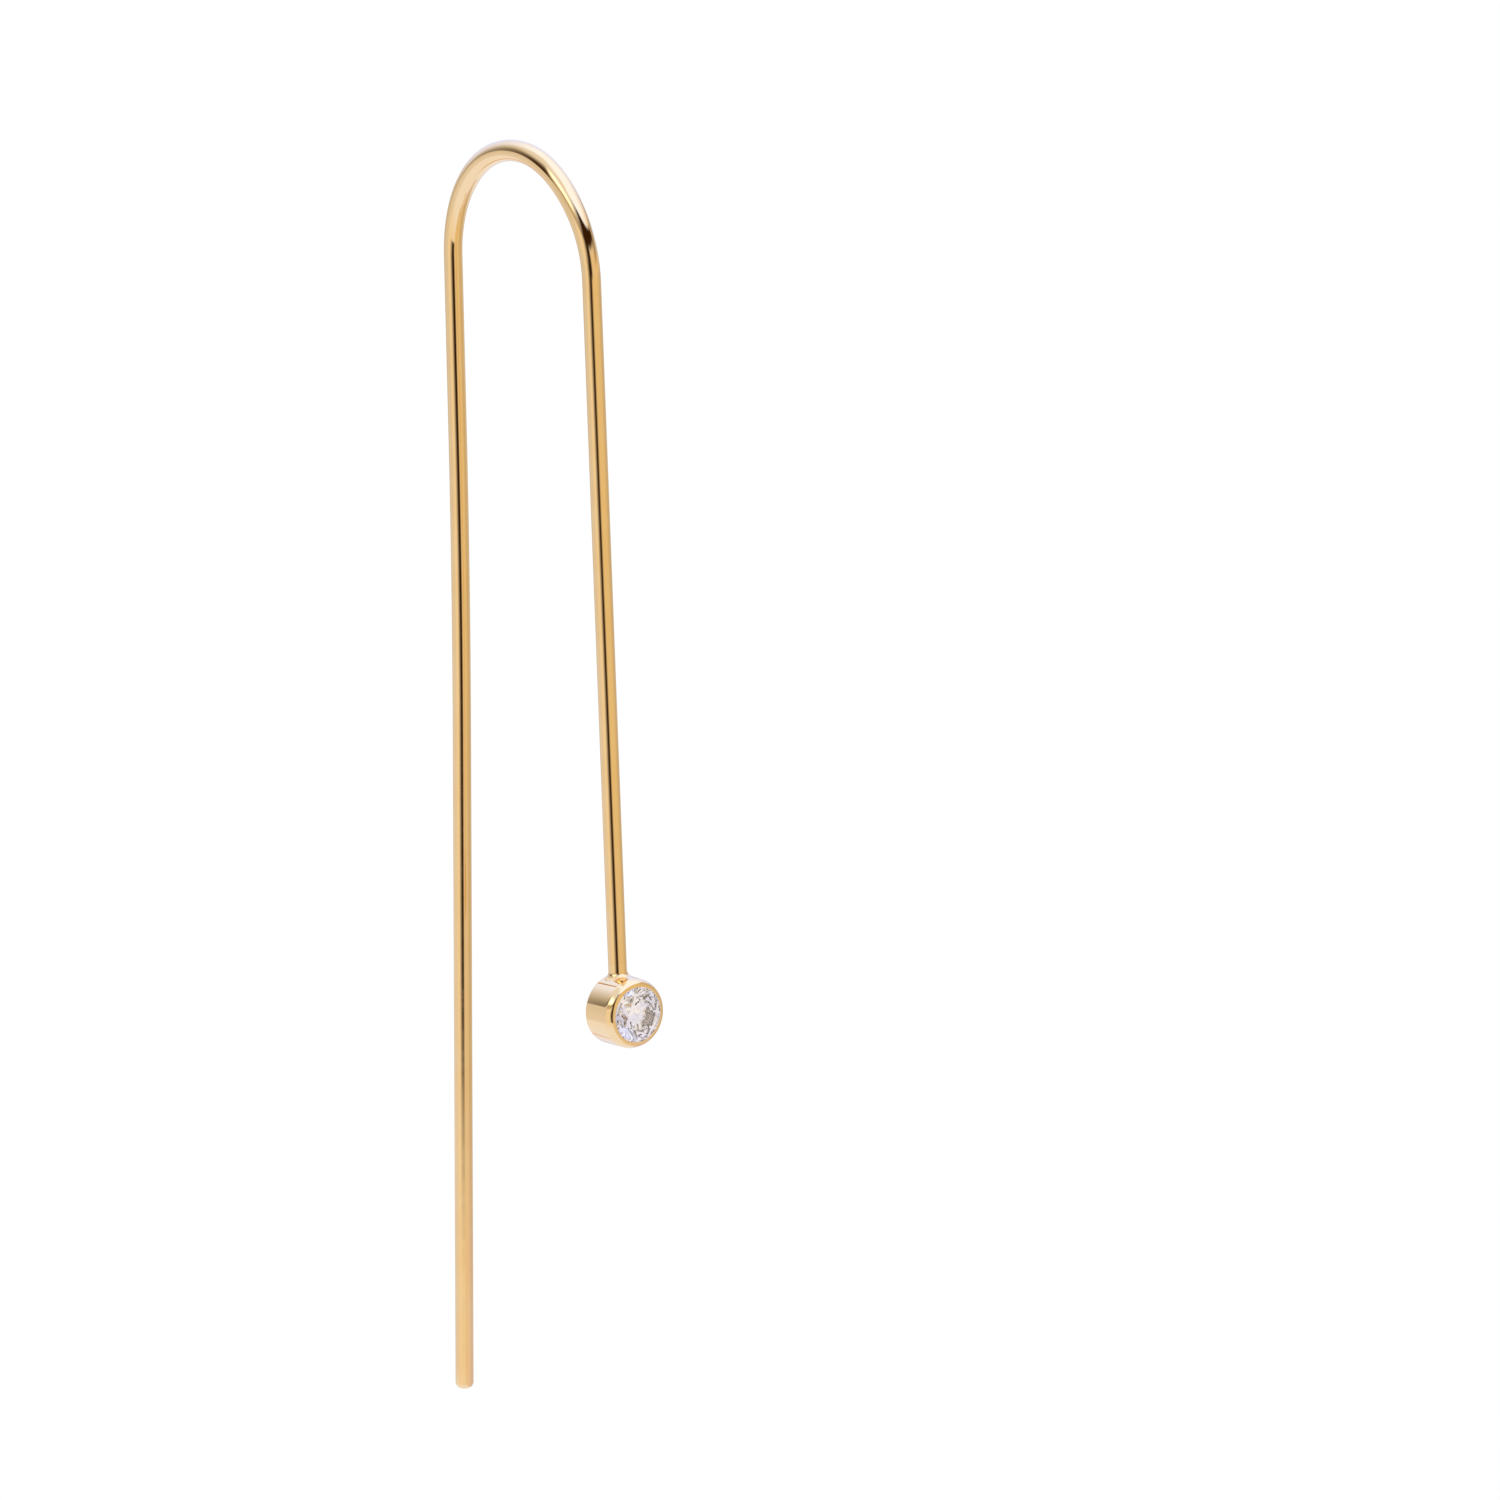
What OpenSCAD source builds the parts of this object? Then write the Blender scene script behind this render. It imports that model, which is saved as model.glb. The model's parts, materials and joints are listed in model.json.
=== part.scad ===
// Drop earring of round gold wire bent into a long U, with a small round diamond in a closed bezel cup.
// The ear lobe hangs in the crown of the U. The long leg passes behind the ear, and the short leg carries
// the stone in front of it. The origin is on the wire's centre line at the crown, +Z is up, +X is the
// side that the stone faces, and the U lies in the XZ plane.

/* [Ear wire] */
// Diameter of the round wire
wire_d = 0.8; // [0.7:0.05:0.9]
// Radius of the crown arch, at the wire's centre line
arch_r = 5; // [4:0.1:7]
// Lean of the long leg toward the short one, above its gentle bend, in degrees
long_lean = 2; // [1:0.1:4]
// Straight stretch of the long leg between the arch and the gentle bend
long_upper = 7.6; // [4:0.1:12]
// Radius of the gentle bend that brings the long leg upright
bend_r = 380; // [200:10:600]
// Straight, upright stretch of the long leg, which passes through the ear
long_lower = 30.3; // [20:0.1:40]
// Rounding of the edge at the long leg's free end
tip_round = 0.28; // [0.1:0.01:0.32]
// Lean of the short leg away from the long one, in degrees
short_lean = 3.5; // [0:0.1:6]
// Length of the short leg from the arch to the outside of the bezel cup
short_length = 30.1; // [20:0.1:40]

/* [Bezel cup] */
// Outer diameter of the cup
cup_d = 3.04; // [2.9:0.02:3.3]
// Straight height of the cup's side, from its back to where the lip begins to curve
cup_side = 1.38; // [1.2:0.01:1.8]
// Radius of the lip that is rolled over the edge of the stone
lip_r = 0.42; // [0.36:0.01:0.5]
// Diameter of the lip's opening, through which the stone shows
opening_d = 2.4; // [2.34:0.01:2.5]
// Thickness of the cup's closed back
back_thick = 0.25; // [0.15:0.01:0.4]
// Rounding of the cup's back edge
back_round = 0.1; // [0.04:0.01:0.15]
// Distance from the centre line of the short leg to the cup's back face
back_offset = 0.42; // [0.42:0.01:0.6]
// Diameter of the bore under the stone, below its seat
bore_d = 2.1; // [1.8:0.05:2.3]

/* [Solder] */
// Radius of the solder fillet between the short leg and the cup
solder_r = 0.26; // [0.1:0.01:0.3]
// How deep the leg and the solder run into the cup's wall, as a share of the wall
root_share = 0.85; // [0.5:0.05:0.95]

/* [Diamond] */
// Diameter of the stone at its girdle
stone_d = 2.6; // [2.52:0.01:2.64]
// Width of the table, as a share of the diameter
table_share = 0.57; // [0.53:0.01:0.62]
// Slope of the crown's main facets, in degrees
crown_angle = 34.5; // [32:0.5:36]
// Slope of the pavilion's main facets, in degrees
pavilion_angle = 41; // [40:0.5:42]
// Height of the girdle at the main facets
girdle_h = 0.09; // [0.08:0.01:0.12]
// How far the star facets reach from the table toward the girdle, as a share
star_share = 0.5; // [0.45:0.01:0.6]
// How far the lower half facets reach from the girdle toward the culet, as a share
lower_share = 0.77; // [0.7:0.01:0.85]
// Radius of the small flat culet
culet_r = 0.03; // [0.02:0.01:0.06]

/* [Fit] */
// Gap between the stone and the metal round it
seat_gap = 0.025; // [0.02:0.005:0.04]
// Height of the lip's inner edge over the stone that it holds
lip_cover = 0.06; // [0.04:0.01:0.1]

/* [Hidden] */
$fn = 96;

wire_r = wire_d / 2;
cup_r = cup_d / 2;
opening_r = opening_d / 2;
bore_r = bore_d / 2;
stone_r = stone_d / 2;

// Heights along the cup's axis, from its back face
lip_centre_r = cup_r - lip_r;
rim_z = cup_side + sqrt(pow(lip_r, 2) - pow(max(0, opening_r - lip_centre_r), 2));
girdle_top = rim_z - lip_cover - (stone_r - opening_r) * tan(crown_angle);
girdle_bottom = girdle_top - girdle_h;
table_r = stone_r * table_share;
table_z = girdle_top + (stone_r - table_r) * tan(crown_angle);

// The cavity's wall stands off the stone by the gap, measured square to the crown and the pavilion
cavity_r = stone_r + seat_gap;
crown_lift = seat_gap / cos(crown_angle);
seat_drop = seat_gap / cos(pavilion_angle);
root = (cup_r - cavity_r) * root_share;

// The two halves of the arch overlap by the first angle at the crown, and those of the gentle bend by the second
crown_lap = 1;
bend_lap = 0.1;

gold = [0.93, 0.76, 0.45];
clear = [0.86, 0.88, 0.94];

// A stretch of wire bent round the local origin. It starts on +X and climbs toward +Z
module wire_arc(radius, sweep) {
  rotate([90, 0, 0])
    rotate_extrude(angle = sweep, $fn = 360)
      translate([radius, 0])
        circle(d = wire_d, $fn = 48);
}

// A straight stretch of wire that runs down from the local origin
module wire_run(length) {
  translate([0, 0, -length])
    cylinder(d = wire_d, h = length);
}

// Puts the arch's centre at the local origin, with one foot of the arch on local +X and its leg along -Z
module at_arch_centre(lean) {
  translate([0, 0, -arch_r])
    rotate([0, -lean, 0])
      children();
}

module on_short_side() {
  at_arch_centre(short_lean)
    children();
}

// The long side is drawn as the short one is, and turned to face the other way
module on_long_side() {
  rotate([0, 0, 180])
    at_arch_centre(-long_lean)
      children();
}

module at_short_leg() {
  on_short_side()
    translate([arch_r, 0, 0])
      children();
}

// The free end, whose edge is rounded so that it slides through the ear
module rounded_tip() {
  rotate_extrude() {
    translate([0, tip_round])
      square([wire_r, tip_round]);
    square([wire_r - tip_round, tip_round]);
    intersection() {
      translate([wire_r - tip_round, tip_round])
        circle(r = tip_round);
      translate([wire_r - tip_round, 0])
        square([tip_round, tip_round]);
    }
  }
}

// The gentle bend is drawn from both of its ends, so that each end meets its straight stretch face to face
module long_leg() {
  bend_sweep = (long_lean + bend_lap) / 2;
  wire_run(long_upper);
  translate([bend_r, 0, -long_upper]) {
    rotate([0, 180, 0])
      wire_arc(bend_r, bend_sweep);
    rotate([0, -long_lean, 0]) {
      rotate([0, 0, 180])
        wire_arc(bend_r, bend_sweep);
      translate([-bend_r, 0, 0]) {
        wire_run(long_lower - 2 * tip_round);
        translate([0, 0, -long_lower])
          rounded_tip();
      }
    }
  }
}

// Moves to the middle of the cup's back face, with the cup's axis along local +Z
module at_cup() {
  at_short_leg()
    translate([-back_offset, 0, -short_length - cup_r])
      rotate([0, 90, 0])
        children();
}

// Half section of the cup from outside: straight side, rounded back edge and rolled lip
module cup_outline() {
  square([cup_r - back_round, cup_side]);
  square([lip_centre_r, cup_side + lip_r]);
  translate([0, back_round])
    square([cup_r, cup_side - back_round]);
  intersection() {
    translate([cup_r - back_round, back_round])
      circle(r = back_round);
    translate([cup_r - back_round, 0])
      square([back_round, back_round]);
  }
  intersection() {
    translate([lip_centre_r, cup_side])
      circle(r = lip_r);
    translate([lip_centre_r, cup_side])
      square([lip_r, lip_r]);
  }
}

// Half section of the space inside: bore, sloped seat, girdle groove and the opening under the lip
module cavity_outline() {
  seat_top = girdle_bottom + (cavity_r - stone_r) * tan(pavilion_angle) - seat_drop;
  groove_top = girdle_top - (cavity_r - stone_r) * tan(crown_angle) + crown_lift;
  polygon([
    [0, back_thick],
    [bore_r, back_thick],
    [bore_r, seat_top - (cavity_r - bore_r) * tan(pavilion_angle)],
    [cavity_r, seat_top],
    [cavity_r, groove_top],
    [opening_r, groove_top + (cavity_r - opening_r) * tan(crown_angle)],
    [opening_r, rim_z + lip_r],
    [0, rim_z + lip_r],
  ]);
}

module bezel_cup() {
  rotate_extrude()
    difference() {
      cup_outline();
      cavity_outline();
    }
}

// Solder that flares from the short leg onto the cup, cut flush with the cup's back
module solder_fillet() {
  flare_r = wire_r + solder_r;
  at_short_leg()
    translate([0, 0, -short_length])
      intersection() {
        rotate_extrude()
          difference() {
            translate([0, -root])
              square([flare_r, root + solder_r]);
            translate([flare_r, solder_r])
              circle(r = solder_r);
          }
        translate([-back_offset + back_round, -flare_r, -root])
          cube([2 * flare_r, 2 * flare_r, root + solder_r]);
      }
}

module ear_wire_with_bezel() {
  color(gold) {
    on_short_side() wire_arc(arch_r, 90 - short_lean);
    on_long_side() {
      wire_arc(arch_r, 90 + long_lean + crown_lap);
      translate([arch_r, 0, 0])
        long_leg();
    }
    at_short_leg() wire_run(short_length + root);
    at_cup() bezel_cup();
    solder_fillet();
  }
}

// Round brilliant cut. Its facets repeat eight times round the axis
FOLDS = 8;
step = 360 / FOLDS;
half = step / 2;

// Height at a radius and at an angle off the middle of a main facet of the crown or the pavilion
function crown_z(r, off) = girdle_top + (stone_r - r * cos(off)) * tan(crown_angle);
function pavilion_z(r, off) = girdle_bottom - (stone_r - r * cos(off)) * tan(pavilion_angle);

// Points where a star facet meets two main facets, and where two lower halves meet on the pavilion
star_r = table_r * cos(half) + (stone_r - table_r * cos(half)) * star_share;
star_z = crown_z(star_r, half);
lower_r = stone_r * (1 - lower_share);
lower_z = pavilion_z(lower_r, half);

// A half facet's plane holds the girdle points on both of its sides. Between them the round girdle bulges
// past the straight line from one to the other, and the facet's edge dips or rises there by its own slope
bulge = stone_r * (1 / cos(half / 2) - 1) * cos(half / 2);
chord_mid = stone_r * cos(half / 2);
crown_dip = bulge * (star_z - girdle_top) / (chord_mid - star_r * cos(half / 2));
pavilion_rise = bulge * (girdle_bottom - lower_z) / (chord_mid - lower_r * cos(half / 2));

function ring(r, z, turn) = [for (k = [0:FOLDS - 1]) [r * cos(turn + k * step), r * sin(turn + k * step), z]];

// Rings of eight points from the table down to the culet
TABLE = 0;
STAR = 1;
TOP_MAIN = 2;
TOP_EARLY = 3;
TOP_HALF = 4;
TOP_LATE = 5;
LOW_MAIN = 6;
LOW_EARLY = 7;
LOW_HALF = 8;
LOW_LATE = 9;
LOWER = 10;
CULET = 11;

stone_points = concat(
  ring(table_r, table_z, 0),
  ring(star_r, star_z, half),
  ring(stone_r, girdle_top, 0),
  ring(stone_r, girdle_top - crown_dip, half / 2),
  ring(stone_r, girdle_top, half),
  ring(stone_r, girdle_top - crown_dip, half * 1.5),
  ring(stone_r, girdle_bottom, 0),
  ring(stone_r, girdle_bottom + pavilion_rise, half / 2),
  ring(stone_r, girdle_bottom, half),
  ring(stone_r, girdle_bottom + pavilion_rise, half * 1.5),
  ring(lower_r, lower_z, half),
  ring(culet_r, pavilion_z(culet_r, half), half)
);

// Number of the point k places round a ring
function at(level, k) = level * FOLDS + (k + FOLDS) % FOLDS;

function girdle_side(a, b, ka, kb) = [
  at(TOP_MAIN + a, ka), at(TOP_MAIN + b, kb), at(LOW_MAIN + b, kb), at(LOW_MAIN + a, ka),
];

stone_faces = concat(
  [[for (k = [FOLDS - 1:-1:0]) at(TABLE, k)]],
  [[for (k = [0:FOLDS - 1]) at(CULET, k)]],
  [for (k = [0:FOLDS - 1]) each [
    [at(TABLE, k), at(TABLE, k + 1), at(STAR, k)],
    [at(TABLE, k), at(STAR, k), at(TOP_MAIN, k), at(STAR, k - 1)],
    [at(STAR, k), at(TOP_HALF, k), at(TOP_EARLY, k), at(TOP_MAIN, k)],
    [at(STAR, k), at(TOP_MAIN, k + 1), at(TOP_LATE, k), at(TOP_HALF, k)],
    girdle_side(0, 1, k, k),
    girdle_side(1, 2, k, k),
    girdle_side(2, 3, k, k),
    girdle_side(3, 0, k, k + 1),
    [at(LOWER, k), at(LOW_MAIN, k), at(LOW_EARLY, k), at(LOW_HALF, k)],
    [at(LOWER, k), at(LOW_HALF, k), at(LOW_LATE, k), at(LOW_MAIN, k + 1)],
    [at(LOW_MAIN, k), at(LOWER, k), at(CULET, k), at(CULET, k - 1), at(LOWER, k - 1)],
  ]]
);

module diamond() {
  color(clear)
    at_cup()
      polyhedron(points = stone_points, faces = stone_faces);
}

ear_wire_with_bezel();
diamond();
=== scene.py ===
# %% [markdown]
# # A drop earring of gold wire with a diamond in a bezel
#
# The earring is one round gold wire bent into a long narrow U. A small turned cup is soldered to the short leg,
# and the cup's lip is rolled over the edge of a round brilliant cut diamond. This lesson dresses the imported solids
# of that earring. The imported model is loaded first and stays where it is, so that every piece made here can take
# its place and its size from it. Everything is in metres, and the origin is on the wire's centre line at the crown.

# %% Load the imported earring
import json
import math

import bmesh
import bpy
from mathutils import Matrix, Vector


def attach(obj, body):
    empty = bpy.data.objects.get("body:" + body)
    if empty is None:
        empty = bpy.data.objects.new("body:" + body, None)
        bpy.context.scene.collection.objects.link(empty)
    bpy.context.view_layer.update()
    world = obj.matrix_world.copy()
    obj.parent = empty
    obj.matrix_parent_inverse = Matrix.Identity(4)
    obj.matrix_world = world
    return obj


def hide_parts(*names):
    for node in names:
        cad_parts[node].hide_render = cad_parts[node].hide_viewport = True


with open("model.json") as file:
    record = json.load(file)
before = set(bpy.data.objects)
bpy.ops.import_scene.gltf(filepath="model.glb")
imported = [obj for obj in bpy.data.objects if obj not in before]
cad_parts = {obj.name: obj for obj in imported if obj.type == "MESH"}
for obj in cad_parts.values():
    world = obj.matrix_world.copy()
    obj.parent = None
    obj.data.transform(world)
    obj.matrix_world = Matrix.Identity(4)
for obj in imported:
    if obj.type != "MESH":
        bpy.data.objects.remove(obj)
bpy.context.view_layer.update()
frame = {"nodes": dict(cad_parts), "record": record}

MM = 0.001
post = next(m for m in frame["record"]["mounts"] if m["name"] == "post")
stone = frame["nodes"]["diamond"]
print("packed nodes:", sorted(frame["nodes"]))

# %% [markdown]
# ## The sizes that the wire and the cup are made to
#
# A goldsmith works from a drawing with few numbers: the gauge of the wire, the radius of the mandrel that the crown
# is bent round, the lengths and leans of the legs, and the turned sizes of the cup. The same numbers made the packed
# solids. The gauge is read from the record, and the others are written once here, because a script that names them
# can be followed and changed, and one that measures a mesh for each of them can't.

# %% Sizes of the wire
WIRE_R = post["dims"]["r_mm"] * MM
ARCH_R = 5.0 * MM
LONG_LEAN = math.radians(2.0)
LONG_UPPER = 7.6 * MM
BEND_R = 380.0 * MM
LONG_LOWER = 30.3 * MM
TIP_ROUND = 0.28 * MM
SHORT_LEAN = math.radians(3.5)
SHORT_LENGTH = 30.1 * MM
ARCH_CENTRE = Vector((0, 0, -ARCH_R))

# %% Sizes of the cup, measured along its axis from its back face and outward from its axis
CUP_R = 1.52 * MM
CUP_SIDE = 1.38 * MM
LIP_R = 0.42 * MM
OPENING_R = 1.2 * MM
BACK_THICK = 0.25 * MM
BACK_ROUND = 0.1 * MM
BACK_OFFSET = 0.42 * MM
BORE_R = 1.05 * MM
SOLDER_R = 0.26 * MM
STONE_R = 1.3 * MM
CROWN_ANGLE = math.radians(34.5)
PAVILION_ANGLE = math.radians(41)
GIRDLE_H = 0.09 * MM
SEAT_GAP = 0.025 * MM
LIP_COVER = 0.06 * MM

# %% [markdown]
# ## Ways of working with rings
#
# A wire is a ring of edges carried along a path. Where the path is straight the ring is extruded, where it is an
# arc the ring is spun, and where the wire narrows or flares the new ring is reshaped before the next step. Blender
# has curves with a bevel for plain wire, and they would be quicker. Rings are used because the same ring has to
# become the rounded tip at one end and the flare of solder at the other. Each point also keeps, as an attribute,
# where it would lie if the wire were pulled straight, so that marks of drawing can later follow the bends.

# %% Helpers that extrude, spin and measure an open ring of edges
gold = bmesh.new()
straightened = gold.verts.layers.float_vector.new("straightened")


def once(things):
    """Each thing once, in the order in which it first came, so that every run builds the mesh in the same order."""
    return list(dict.fromkeys(things))


def ring_of(verts):
    inside = set(verts)
    return once(e for v in verts for e in v.link_edges if all(w in inside for w in e.verts))


def middle(ring):
    verts = once(v for e in ring for v in e.verts)
    return sum((v.co for v in verts), Vector()) / len(verts)


def extruded(ring, length):
    """A copy of the ring joined to it by faces. Its points are marked as that much further along the wire."""
    made = bmesh.ops.extrude_edge_only(gold, edges=ring)["geom"]
    verts = [v for v in made if isinstance(v, bmesh.types.BMVert)]
    for v in verts:
        v[straightened] = v[straightened] + Vector((0, 0, length))
    return verts


def drawn_straight(ring, path, steps, sense=1):
    for _ in range(steps):
        verts = extruded(ring, sense * path.length / steps)
        bmesh.ops.translate(gold, verts=verts, vec=path / steps)
        ring = ring_of(verts)
    return ring


def bent(ring, centre, angle, steps):
    """Bends the wire in the plane of the U. A positive angle turns about +Y."""
    length = abs(angle) * (middle(ring) - centre).length / steps
    for _ in range(steps):
        verts = once(v for e in ring for v in e.verts)
        made = bmesh.ops.spin(
            gold, geom=verts + ring, cent=centre, axis=(0, 1, 0), dvec=(0, 0, 0),
            angle=angle / steps, steps=1, use_merge=False, use_normal_flip=False, use_duplicate=False,
        )["geom_last"]
        verts = [v for v in made if isinstance(v, bmesh.types.BMVert)]
        for v in verts:
            v[straightened] = v[straightened] + Vector((0, 0, length))
        ring = ring_of(verts)
    return ring


# %% [markdown]
# ## The wire
#
# The ring starts at the foot of the arch on the short side. It is spun over the crown, drawn down the long leg, and
# spun once more, through two degrees on a very large radius, which is the gentle bend that brings the post upright.
# The free end is rounded like a real ear post, so that it slides through the ear: each ring of the rounding is a
# little smaller and lower than the one before, along a quarter circle.

# %% Bend the wire from the short side over the crown
WIRE_SIDES = 64
ARCH_STEPS = 120
ROUNDING_STEPS = 8

start = bmesh.ops.create_circle(gold, cap_ends=False, radius=WIRE_R, segments=WIRE_SIDES)["verts"]
for v in start:
    v[straightened] = v.co
short_foot = ARCH_CENTRE + ARCH_R * Vector((math.cos(SHORT_LEAN), 0, math.sin(SHORT_LEAN)))
bmesh.ops.rotate(gold, verts=start, cent=(0, 0, 0), matrix=Matrix.Rotation(-SHORT_LEAN, 3, "Y"))
bmesh.ops.translate(gold, verts=start, vec=short_foot)
foot_ring = ring_of(start)

ring = bent(foot_ring, ARCH_CENTRE, -(math.pi - SHORT_LEAN + LONG_LEAN), ARCH_STEPS)

# %% Swell the crown a little, as bending and planishing leave it
CROWN_SWELL = 0.15
CROWN_LIFT = 0.13 * MM


def eased(value, start, end):
    share = min(max((value - start) / (end - start), 0), 1)
    return share * share * (3 - 2 * share)


for v in gold.verts:
    turn = math.degrees(math.atan2(v.co.z - ARCH_CENTRE.z, v.co.x))
    outward = Vector((math.cos(math.radians(turn)), 0, math.sin(math.radians(turn))))
    on_line = ARCH_CENTRE + outward * ARCH_R
    past_crown = eased(turn, 180, 112)
    v.co = on_line + (v.co - on_line) * (1 + CROWN_SWELL * min(eased(turn, 15, 80), past_crown))
    v.co += outward * CROWN_LIFT * min(eased(turn, 40, 88), past_crown)
print("top of the crown at z mm:", round(max(v.co.z for v in gold.verts) / MM, 3))

# %% Draw the long leg down from the arch
down_long = Vector((math.sin(LONG_LEAN), 0, -math.cos(LONG_LEAN)))
ring = drawn_straight(ring, down_long * LONG_UPPER, 8)
bend_centre = middle(ring) - BEND_R * Vector((math.cos(LONG_LEAN), 0, math.sin(LONG_LEAN)))
ring = bent(ring, bend_centre, LONG_LEAN, 14)
ring = drawn_straight(ring, Vector((0, 0, TIP_ROUND - LONG_LOWER)), 30)
print("post stands at x mm:", round(middle(ring).x / MM, 4), "and the mount at", post["pos_m"][0] / MM)

# %% Round the free end and close it
tip_start = middle(ring)
for step in range(1, ROUNDING_STEPS + 1):
    turn = math.pi / 2 * step / ROUNDING_STEPS
    radius = WIRE_R - TIP_ROUND * (1 - math.cos(turn))
    verts = extruded(ring, TIP_ROUND * math.pi / 2 / ROUNDING_STEPS)
    for v in verts:
        outward = (v.co - tip_start) * Vector((1, 1, 0))
        v.co = tip_start + outward.normalized() * radius + Vector((0, 0, -TIP_ROUND * math.sin(turn)))
    ring = ring_of(verts)
bmesh.ops.edgeloop_fill(gold, edges=ring)
print("tip at z mm:", round(min(v.co.z for v in gold.verts) / MM, 3))

# %% [markdown]
# ## The short leg and its solder
#
# The short leg leans out by three and a half degrees and ends on the cup, whose axis is square to it. Solder has run
# into the corner between them and drawn itself into a hollow fillet. Each new ring of the fillet is wider and lower
# than the last along a hollow quarter circle, and is lowered further by as much as the round cup falls away beneath
# it. So the last ring lies on the cup itself. Toward the cup's back the leg stands close to the edge, so the flare
# narrows there to nothing.

# %% Heights of the cup's surface round the foot of the leg
LEG_TURN = Matrix.Rotation(-SHORT_LEAN, 4, "Y")
LEG_FRAME = Matrix.Translation(ARCH_CENTRE) @ LEG_TURN @ Matrix.Translation((ARCH_R, 0, 0))
CUP_FRAME = (
    LEG_FRAME
    @ Matrix.Translation((-BACK_OFFSET, 0, -SHORT_LENGTH - CUP_R))
    @ Matrix.Rotation(math.pi / 2, 4, "Y")
)


def cup_fall(x, y):
    """How far the cup's surface lies below its top line, at x along the cup's axis from the leg and y across it."""
    from_back = x + BACK_OFFSET
    edge = BACK_ROUND - min(max(from_back, 0), BACK_ROUND)
    radius = CUP_R - BACK_ROUND + math.sqrt(BACK_ROUND ** 2 - edge ** 2)
    return CUP_R - math.sqrt(radius ** 2 - y ** 2)


def flare_size(direction):
    """The fillet's radius in a direction round the leg, where 0 points to the front of the cup."""
    toward_back = max(0.0, -math.cos(direction))
    return SOLDER_R * (1 - toward_back ** 2) + 0.012 * MM


# %% Draw the short leg down to the solder and flare it onto the cup
FILLET_STEPS = 12
ROOT_DEPTH = 0.12 * MM
SINK = 0.0015 * MM

leg_inverse = LEG_FRAME.inverted()
down_short = LEG_FRAME.to_3x3() @ Vector((0, 0, -1))
ring = drawn_straight(foot_ring, down_short * (SHORT_LENGTH - 2 * SOLDER_R), 30, sense=-1)
for step in range(FILLET_STEPS + 1):
    turn = math.pi / 2 * step / FILLET_STEPS
    verts = extruded(ring, -SOLDER_R / FILLET_STEPS)
    for v in verts:
        local = leg_inverse @ v.co
        direction = math.atan2(local.y, local.x)
        flare = flare_size(direction)
        reach = WIRE_R + flare * (1 - math.cos(turn))
        x, y = reach * math.cos(direction), reach * math.sin(direction)
        height = flare * (1 - math.sin(turn)) - cup_fall(x, y) - SINK * step / FILLET_STEPS
        v.co = LEG_FRAME @ Vector((x, y, height - SHORT_LENGTH))
    ring = ring_of(verts)
verts = extruded(ring, -ROOT_DEPTH)
bmesh.ops.scale(gold, verts=verts, vec=(0.7, 0.7, 0.7), space=Matrix.Translation(-middle(ring_of(verts))))
bmesh.ops.translate(gold, verts=verts, vec=down_short * ROOT_DEPTH)
bmesh.ops.edgeloop_fill(gold, edges=ring_of(verts))
bmesh.ops.recalc_face_normals(gold, faces=gold.faces)

WIRE, SOLDER, CUP, LIP, SEAT = range(5)
solder_start = 2 * SOLDER_R - SHORT_LENGTH
for face in gold.faces:
    face.material_index = SOLDER if all(v[straightened].z <= solder_start + SINK for v in face.verts) else WIRE
lengths = [v[straightened].z / MM for v in gold.verts]
print("mm along the wire from the arch's foot:", round(min(lengths), 2), "to", round(max(lengths), 2))
print("wire and solder:", len(gold.faces), "faces, closed:", all(e.is_manifold for e in gold.edges))

# %% [markdown]
# ## The bezel cup
#
# The cup is turned on a lathe, so it is spun here: a half section is drawn point by point and turned once round its
# axis. In the section the back edge and the lip are arcs, and each is a single vertex spun round the arc's own
# centre. A burnished lip isn't one round: it slopes in with hardly any curve, turns over quickly, and ends in a
# narrow flat land round the stone. That is why its white light is wide and its dark line is thin. So it has three
# arcs and a land, inside the plain round of the solid. The inside has the bore, the sloped seat for the stone's
# lower half, the groove for its girdle, and the edge that closes over it.

# %% Heights of the seat and the lip
LIP_CENTRE_R = CUP_R - LIP_R
LIP_SWEEP = math.acos((OPENING_R - LIP_CENTRE_R) / LIP_R)
RIM_Z = CUP_SIDE + LIP_R * math.sin(LIP_SWEEP)
GIRDLE_TOP = RIM_Z - LIP_COVER - (STONE_R - OPENING_R) * math.tan(CROWN_ANGLE)
GIRDLE_BOTTOM = GIRDLE_TOP - GIRDLE_H
CAVITY_R = STONE_R + SEAT_GAP
SEAT_TOP = GIRDLE_BOTTOM + SEAT_GAP * math.tan(PAVILION_ANGLE) - SEAT_GAP / math.cos(PAVILION_ANGLE)
GROOVE_TOP = GIRDLE_TOP - SEAT_GAP * math.tan(CROWN_ANGLE) + SEAT_GAP / math.cos(CROWN_ANGLE)


# %% Draw the half section, turn it and ease its sharp edges
CUP_STEPS = 144
EASE = 0.012 * MM
LIP_ARCS = ((0.22 * MM, 13), (0.82 * MM, 30), (0.26 * MM, 80))


def lined(bm, vert, radius, height):
    new = bmesh.ops.extrude_vert_indiv(bm, verts=[vert])["verts"][0]
    new.co = (radius, 0, height)
    return new


def arced(bm, vert, radius, height, angle, steps):
    """Carries the section's last point round a centre, by an angle that turns from outward to upward."""
    made = bmesh.ops.spin(
        bm, geom=[vert], cent=(radius, 0, height), axis=(0, 1, 0), dvec=(0, 0, 0),
        angle=-angle, steps=steps, use_merge=False, use_normal_flip=False, use_duplicate=False,
    )["geom_last"]
    return next(v for v in made if isinstance(v, bmesh.types.BMVert))


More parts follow.
